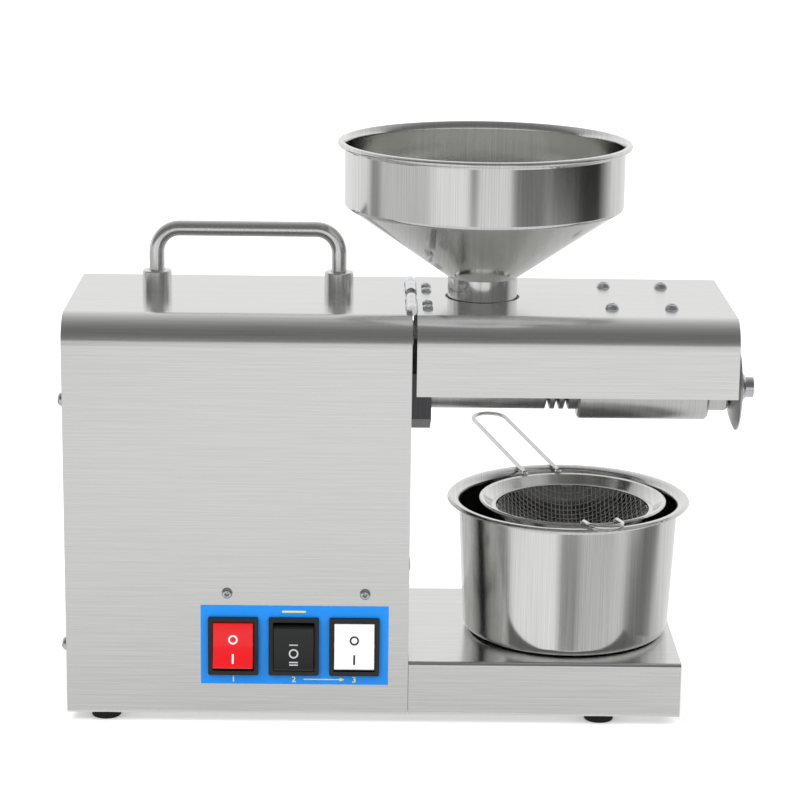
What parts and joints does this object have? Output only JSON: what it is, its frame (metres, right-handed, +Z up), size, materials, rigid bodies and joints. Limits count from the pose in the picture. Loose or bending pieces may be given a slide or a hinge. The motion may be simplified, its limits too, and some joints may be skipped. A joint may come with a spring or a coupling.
{
  "type": "screw oil press",
  "caption": "Countertop screw oil press: steel housing with motor and gearbox, heated press barrel under a hinged cover, hopper, pot and strainer.",
  "frame": {"origin": "centre of the whole object's footprint box on the surface it stands on", "axes": "+X along the press barrel away from the housing, -Y is the front with the switches, +Z up"},
  "size_m": [0.3571, 0.2176, 0.2944],
  "materials": {
    "brushed_stainless": "brushed along the length",
    "polished_stainless": "polished, spun or drawn",
    "wire_cloth": "woven stainless wire",
    "satin_rod": "satin polished rod",
    "hinge_steel": "plated",
    "screw_steel": "plated",
    "press_steel": "turned",
    "sleeve_steel": "turned, satin",
    "blackened_steel": "blackened",
    "foot_rubber": "matt black",
    "label_film": "printed polyester film",
    "black_nylon": "moulded",
    "red_rocker": "moulded",
    "white_rocker": "moulded",
    "ceramic_block": "unglazed ceramic",
    "glass_sleeving": "braided glass fibre",
    "cast_aluminium": "as cast",
    "motor_iron": "laminated",
    "ground_steel": "ground",
    "gear_steel": "hobbed",
    "bush_bronze": "sintered bronze",
    "zinc_plate": "zinc plated",
    "circuit_board": "solder mask",
    "capacitor_can": "drawn can"
  },
  "bodies": {
    "machine": {"housing_shell": "brushed_stainless", "left_end_panel": "brushed_stainless", "right_end_panel": "brushed_stainless", "bottom_plate": "brushed_stainless", "base_tray": "brushed_stainless", "rubber_feet": "foot_rubber", "foot_screws": "screw_steel", "end_panel_screws": "screw_steel", "control_label": "label_film", "switch_bodies": "black_nylon", "panel_screws": "screw_steel", "carry_handle": "satin_rod", "handle_ferrules": "satin_rod", "handle_nuts": "screw_steel", "hinge_leaf_fixed": "hinge_steel", "hinge_pins": "hinge_steel", "press_barrel": "press_steel", "heater_sleeve": "sleeve_steel", "heater_terminal": "ceramic_block", "heater_lead": "glass_sleeving", "motor_stator": "motor_iron", "motor_front_bell": "cast_aluminium", "motor_rear_bell": "cast_aluminium", "motor_bearings": "ground_steel", "motor_through_bolts": "screw_steel", "motor_cradle": "zinc_plate", "gearbox_case": "cast_aluminium", "gearbox_cover": "cast_aluminium", "gearbox_screws": "screw_steel", "output_bearing": "ground_steel", "idler_bushes": "bush_bronze", "control_board": "circuit_board", "run_capacitor": "capacitor_can", "power_inlet": "black_nylon"},
    "cover": {"chamber_cover": "brushed_stainless", "heat_shield": "brushed_stainless", "cover_screws": "screw_steel", "hinge_screws": "screw_steel", "hinge_leaf_moving": "hinge_steel"},
    "hopper": {"hopper": "polished_stainless"},
    "nut": {"locking_nut": "blackened_steel"},
    "rotor": {"motor_rotor": "motor_iron", "motor_shaft": "ground_steel", "motor_pinion": "gear_steel", "cooling_fan": "black_nylon"},
    "idler": {"idler_gear": "gear_steel"},
    "press_drive": {"press_screw": "press_steel", "output_shaft": "ground_steel", "output_gear": "gear_steel", "end_flare_disc": "press_steel", "end_washer": "screw_steel", "end_bolt": "screw_steel"},
    "pot": {"oil_pot": "polished_stainless"},
    "strainer": {"strainer_rim": "polished_stainless", "strainer_mesh": "wire_cloth", "strainer_handle": "polished_stainless", "strainer_ear": "polished_stainless"},
    "red_switch": {"rocker_red": "red_rocker"},
    "black_switch": {"rocker_black": "black_nylon"},
    "white_switch": {"rocker_white": "white_rocker"}
  },
  "joints": [
    {"name": "cover_hinge", "type": "hinge", "parent": "machine", "child": "cover", "pos_m": [-0.0016, -0.0332, 0.2142], "axis": [0, -1, 0], "range_deg": [0, 100]},
    {"name": "hopper_lift", "type": "slide", "parent": "machine", "child": "hopper", "axis": [0, 0, 1], "range_m": [0, 0.28]},
    {"name": "nut_turn", "type": "hinge", "parent": "machine", "child": "nut", "pos_m": [0.0044, -0.0332, 0.1662], "axis": [1, 0, 0], "range_deg": [0, 540]},
    {"name": "motor_spin", "type": "hinge", "parent": "machine", "child": "rotor", "pos_m": [-0.1074, -0.0332, 0.10308], "axis": [1, 0, 0], "continuous": true},
    {"name": "idler_spin", "type": "hinge", "parent": "machine", "child": "idler", "pos_m": [-0.0504, -0.0132, 0.13301], "axis": [1, 0, 0], "continuous": true},
    {"name": "screw_spin", "type": "hinge", "parent": "machine", "child": "press_drive", "pos_m": [-0.0024, -0.0332, 0.1662], "axis": [1, 0, 0], "continuous": true},
    {"name": "pot_slide", "type": "slide", "parent": "machine", "child": "pot", "axis": [0, -1, 0], "range_m": [0, 0.15]},
    {"name": "strainer_lift", "type": "slide", "parent": "pot", "child": "strainer", "axis": [0, 0, 1], "range_m": [0, 0.03]},
    {"name": "red_rocker", "type": "hinge", "parent": "machine", "child": "red_switch", "pos_m": [-0.09095, -0.0936, 0.0425], "axis": [1, 0, 0], "range_deg": [0, 22]},
    {"name": "black_rocker", "type": "hinge", "parent": "machine", "child": "black_switch", "pos_m": [-0.06, -0.0936, 0.0425], "axis": [1, 0, 0], "range_deg": [-11, 11]},
    {"name": "white_rocker", "type": "hinge", "parent": "machine", "child": "white_switch", "pos_m": [-0.02905, -0.0936, 0.0425], "axis": [1, 0, 0], "range_deg": [0, 22], "stiffness_Nm_per_rad": 0.05}
  ],
  "couplings": [
    {"joint": "hopper_lift", "follows": "cover_hinge", "m_per_rad": 0.16041},
    {"joint": "idler_spin", "follows": "motor_spin", "ratio": -0.2},
    {"joint": "screw_spin", "follows": "motor_spin", "ratio": 0.048}
  ]
}
